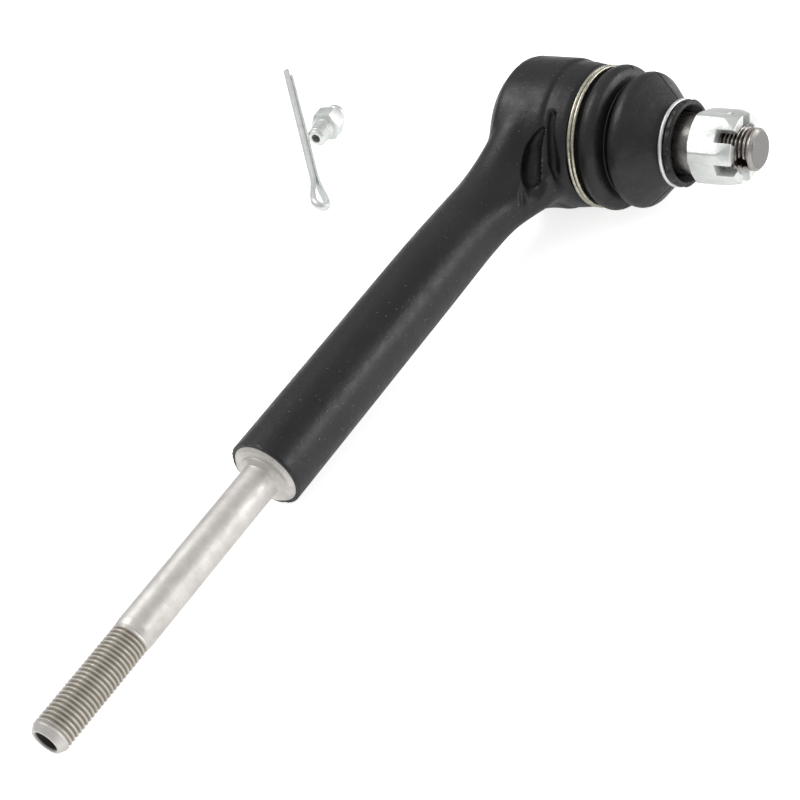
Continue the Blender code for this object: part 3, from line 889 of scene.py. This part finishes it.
def make_boot():
    outer = [(17.95, 26.05, 0.1), (18.85, 26.05, 0.3), (18.85, 28.6, 0.4)] + arc(17.6, 32.0, 3.0, -58, 52, 13)
    outer += [(17.7, 35.0, 0.8), (15.7, 35.3, 0.3), (16.5, 35.7, 0.3), (16.5, 36.1, 0.3)]
    outer += [(15.4, WAIST_Y, 0.0)]
    inner = [(13.9, WAIST_Y, 0.0), (14.6, 35.3, 0.5), (15.9, 34.5, 0.5)] + arc(17.6, 32.0, 1.5, 55, -45, 12)
    inner += [(17.95, 30.2, 0.3)]
    base = turned("boot_base_lobe", rounded(outer + inner, True), closed=True, segments=BOOT_SEGMENTS,
                  relief=mould_seam)
    show(base, RUBBER, "boot_rubber", "dust_boot_base_lobe", sharp=50)
    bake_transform(base)
    outer = [(15.4, WAIST_Y, 0.0), (15.9, WAIST_Y + 0.35, 0.4)] + arc(15.6, 40.6, 3.5, -58, 42, 13)
    outer += [(12.9, 48.2, 1.5), (11.3, 49.7, 0.5), (10.95, 50.1, 0.2), (10.95, 51.8, 0.2)]
    outer += [(12.15, 52.2, 0.5), (12.3, 53.4, 0.5), (11.7, 54.0, 0.4), (10.9, 54.0, 0.4)]
    inner = [(10.4, 53.3, 0.5), (9.25, 51.4, 0.5), (9.25, 49.4, 0.4), (11.0, 48.2, 0.5)]
    inner += arc(15.6, 40.6, 2.0, 42, -45, 12)
    inner += [(14.7, WAIST_Y + 1.4, 0.3), (13.9, WAIST_Y, 0.0)]
    neck = turned("boot_neck_lobe", rounded(outer + inner, True), closed=True, segments=BOOT_SEGMENTS,
                  relief=boot_lip)
    show(neck, RUBBER, "boot_rubber", "dust_boot_neck_lobe", sharp=50)
    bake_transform(neck)


def make_rings():
    """The large ring's wire goes round twice and crosses over beside its ends; the small one is closed."""
    large_r, large_y, wire_step = 19.75, 26.6, 1.25
    small_r, small_y = 11.75, 51.0
    crossing = math.radians(35)
    count = 600
    path = []
    for i in range(count + 1):
        angle = crossing + (2 * math.tau - 2 * crossing) * i / count
        lane = min(max((angle - math.tau + crossing) / (2 * crossing), 0.0), 1.0)
        lane = lane * lane * (3 - 2 * lane)
        place = angle + math.pi
        path.append((large_r * math.cos(place), large_y + wire_step * lane, large_r * math.sin(place)))
    large = swept("base_wire_ring", path, circle(0.53), (0, 1, 0))
    show(large, WIRE, "spring_steel", "boot_large_wire_ring", body="housing", sharp=50)
    angles = np.linspace(0, math.tau, 240, False)
    path = [(small_r * math.cos(a), small_y, small_r * math.sin(a)) for a in angles]
    small = swept("neck_wire_ring", path, circle(0.6), (0, 1, 0), cyclic=True)
    show(small, ZINC, "zinc_plate", "boot_neck_ring", body="neck_ring", sharp=50)


# ---------------------------------------------------------------- loose fittings

def make_cotter_pin():
    """Half-round wire from one leg's end round the eye to the other's; built along X, then laid down."""
    half_gap = 0.12
    legs = (86.0, 82.5)
    wire_r = 1.45
    eye = (4.1, 2.4, 1.9)
    shoulder = [(18.0, half_gap), (14.5, 0.4), (11.0, 0.98), (7.5, 1.6)]
    guide = [(legs[0], half_gap), (40, half_gap)] + shoulder
    for i in range(13):
        angle = math.radians(75 + 210 * i / 12)
        guide.append((eye[0] + eye[1] * math.cos(angle), eye[2] * math.sin(angle)))
    guide += [(along, -across) for along, across in reversed(shoulder)]
    guide += [(40, -half_gap), (legs[1], -half_gap)]
    guide = np.array(guide, float)
    run = np.concatenate([[0], np.cumsum(np.hypot(*np.diff(guide, axis=0).T))])
    at = np.linspace(0, run[-1], 420)
    fine = np.stack([np.interp(at, run, guide[:, 0]), np.interp(at, run, guide[:, 1])], 1)
    for _ in range(6):
        fine[1:-1] = (fine[:-2] + 2 * fine[1:-1] + fine[2:]) / 4
    path = [(u, v, 0) for u, v in fine]
    section = [(wire_r * math.cos(a), wire_r * math.sin(a)) for a in np.radians(np.linspace(-84, 84, 19))]
    section = [(0.0, -wire_r * 0.97), *section, (0.0, wire_r * 0.97)]
    pin = swept("split_pin", path, section, (0, 0, 1), placed=Matrix.Scale(MM, 4))
    bevelled(pin, 0.25, 50, 3)
    roll = Matrix.Rotation(math.radians(35), 4, "X")
    lean = Matrix.Rotation(math.radians(-6.3), 4, "Y")
    heading = Matrix.Rotation(math.radians(-136.8), 4, "Z")
    pin.data.transform(heading @ lean @ roll)
    settle(pin, "cotter_pin")
    show(pin, ZINC, "zinc_plate", "cotter_pin", body="loose_cotter_pin", sharp=40)


def make_grease_nipple():
    """Built along X from the tip of its head, with a hollow inside, then laid on its flats."""
    start, end = 12.0, 17.6
    thread_r = (3.45, 3.2)
    head = [(1.35, 0.0, 0.1), (1.7, 0.0, 0.3), (3.25, 2.0, 1.2), (3.25, 3.1, 1.0), (2.2, 4.3, 0.8)]
    head += [(2.2, 5.2, 0.3), (3.8, 6.0, 0.2), (3.8, 11.3, 0.2), (3.0, 11.5, 0.2), (thread_r[0], start)]
    shell = rounded(head)[:-1]
    shell += [(float(np.interp(s, (start, end), thread_r)), s) for _, s in stations(0, start, end, 0.08)]
    rear = [(thread_r[1], end), (thread_r[1] - 0.1, end + 0.05, 0.0), (2.5, 18.4, 0.2), (1.5, 18.4, 0.25)]
    rear += [(1.5, 2.9, 0.2), (0.6, 2.0, 0.1), (0.6, 0.25, 0.1), (1.35, 0.0, 0.1)]
    shell += rounded(rear)[1:-1]
    relief = screw_thread(thread_r[0], 0.5, 0.907, start, end)
    plain = Matrix.Scale(MM, 4)
    nipple = turned("grease_nipple", shell, "X", closed=True, segments=72, relief=relief, placed=plain)
    flats_r = 4.76
    flats = prism("nipple_hex", hexagon(flats_r / math.cos(math.pi / 6), 0.0, 0.2), 5.5, 12.0, "X",
                  placed=plain)
    cone = [(0, 5.95), (4.5, 5.95, 0.1), (5.8, 6.7, 0), (5.8, 10.7, 0), (4.5, 11.45, 0.1), (0, 11.45)]
    combine(flats, turned("nipple_cone", rounded(cone), "X", segments=96, placed=plain), "INTERSECT")
    core = [(0, 5.0), (3.0, 5.0), (3.0, 12.5), (0, 12.5)]
    combine(flats, turned("nipple_core", core, "X", segments=48, placed=plain))
    bevelled(flats, 0.1, 30)
    combine(nipple, flats, "UNION")
    nipple.data.transform(Matrix.Rotation(math.radians(10), 4, "Z"))
    settle(nipple, "grease_nipple_body")
    show(nipple, ZINC, "zinc_plate", "grease_nipple_body", body="loose_grease_nipple", sharp=30)


def dress_hidden_nodes():
    """Gives the CAD nodes that stay their materials."""
    finishes = {
        "rear_bearing_seat": PLASTIC,
        "front_bearing_seat": PLASTIC,
        "preload_spring_washer": WIRE,
        "nipple_check_spring": WIRE,
        "nipple_check_ball": COVER_STEEL,
    }
    for name, material in finishes.items():
        mesh = frame["nodes"][name].data
        mesh.materials.clear()
        mesh.materials.append(material)


# ---------------------------------------------------------------- stage

def make_floor():
    """A pale floor that glows a little, so that it reaches white behind the object."""
    made = bpy.data.materials.new("pale_floor")
    made.use_nodes = True
    shader = made.node_tree.nodes["Principled BSDF"]
    shader.inputs["Base Color"].default_value = (0.9, 0.9, 0.9, 1)
    shader.inputs["Roughness"].default_value = 0.8
    shader.inputs["Emission Color"].default_value = (1, 1, 1, 1)
    seen = made.node_tree.nodes.new("ShaderNodeLightPath")
    glow = made.node_tree.nodes.new("ShaderNodeMapRange")
    glow.inputs["To Min"].default_value = 0.36
    glow.inputs["To Max"].default_value = 0.78
    made.node_tree.links.new(seen.outputs["Is Camera Ray"], glow.inputs["Value"])
    made.node_tree.links.new(glow.outputs["Result"], shader.inputs["Emission Strength"])
    size = 6.0
    corners = [(x * size, y * size, FLOOR_Z) for x, y in ((-1, -1), (1, -1), (1, 1), (-1, 1))]
    below = Matrix.Translation((0, 0, -FLOOR_GAP))
    floor = mesh_object("studio_floor", corners, [(0, 1, 2, 3)], below)
    floor.data.materials.append(made)


def add_light(name, at, aim, size, power):
    """A soft rectangular lamp at one point, aimed at another."""
    data = bpy.data.lights.new(name, "AREA")
    data.shape = "RECTANGLE"
    data.size, data.size_y = size
    data.energy = power
    lamp = bpy.data.objects.new(name, data)
    lamp.location = at
    lamp.rotation_euler = (Vector(aim) - Vector(at)).to_track_quat("-Z", "Y").to_euler()
    bpy.context.scene.collection.objects.link(lamp)


def make_world():
    """White behind the object; for reflections, bright above and darker towards the horizon."""
    world = bpy.data.worlds.new("studio")
    bpy.context.scene.world = world
    world.use_nodes = True
    nodes, links = world.node_tree.nodes, world.node_tree.links
    place = nodes.new("ShaderNodeTexCoord")
    split = nodes.new("ShaderNodeSeparateXYZ")
    links.new(place.outputs["Generated"], split.inputs[0])
    ramp = nodes.new("ShaderNodeValToRGB")
    links.new(split.outputs["Z"], ramp.inputs["Fac"])
    ramp.color_ramp.elements[0].position = 0.0
    ramp.color_ramp.elements[0].color = (0.42, 0.42, 0.43, 1)
    ramp.color_ramp.elements[1].position = 0.75
    ramp.color_ramp.elements[1].color = (1.0, 1.0, 1.0, 1)
    middle = ramp.color_ramp.elements.new(0.3)
    middle.color = (0.72, 0.72, 0.73, 1)
    shade = nodes["Background"]
    links.new(ramp.outputs["Color"], shade.inputs["Color"])
    shade.inputs["Strength"].default_value = 0.58
    seen = nodes.new("ShaderNodeBackground")
    seen.inputs["Color"].default_value = (1, 1, 1, 1)
    path = nodes.new("ShaderNodeLightPath")
    mix = nodes.new("ShaderNodeMixShader")
    links.new(path.outputs["Is Camera Ray"], mix.inputs["Fac"])
    links.new(shade.outputs[0], mix.inputs[1])
    links.new(seen.outputs[0], mix.inputs[2])
    links.new(mix.outputs[0], nodes["World Output"].inputs["Surface"])


def make_camera():
    data = bpy.data.cameras.new("camera")
    data.lens = 82.69
    data.sensor_width = 36.0
    data.clip_start = 0.01
    data.clip_end = 50.0
    camera = bpy.data.objects.new("camera", data)
    camera.location = (0.378327, 0.301579, 0.258162)
    camera.rotation_euler = [math.radians(angle) for angle in (53.54768, 15.68532, 124.61576)]
    bpy.context.scene.collection.objects.link(camera)
    bpy.context.scene.camera = camera


make_forging()
make_rod()
make_cover()
make_stud()
make_nut()
make_boot()
make_rings()
make_cotter_pin()
make_grease_nipple()
dress_hidden_nodes()
make_floor()
make_world()
middle = (cad_box[0] + cad_box[1]) / 2
add_light("key", middle + Vector((0.05, -0.45, 0.75)), middle, (0.5, 0.5), 2.6)
add_light("rim", middle + Vector((-0.6, 0.75, 0.16)), middle, (0.9, 0.3), 3.4)
make_camera()
bpy.context.scene.view_settings.view_transform = "Standard"
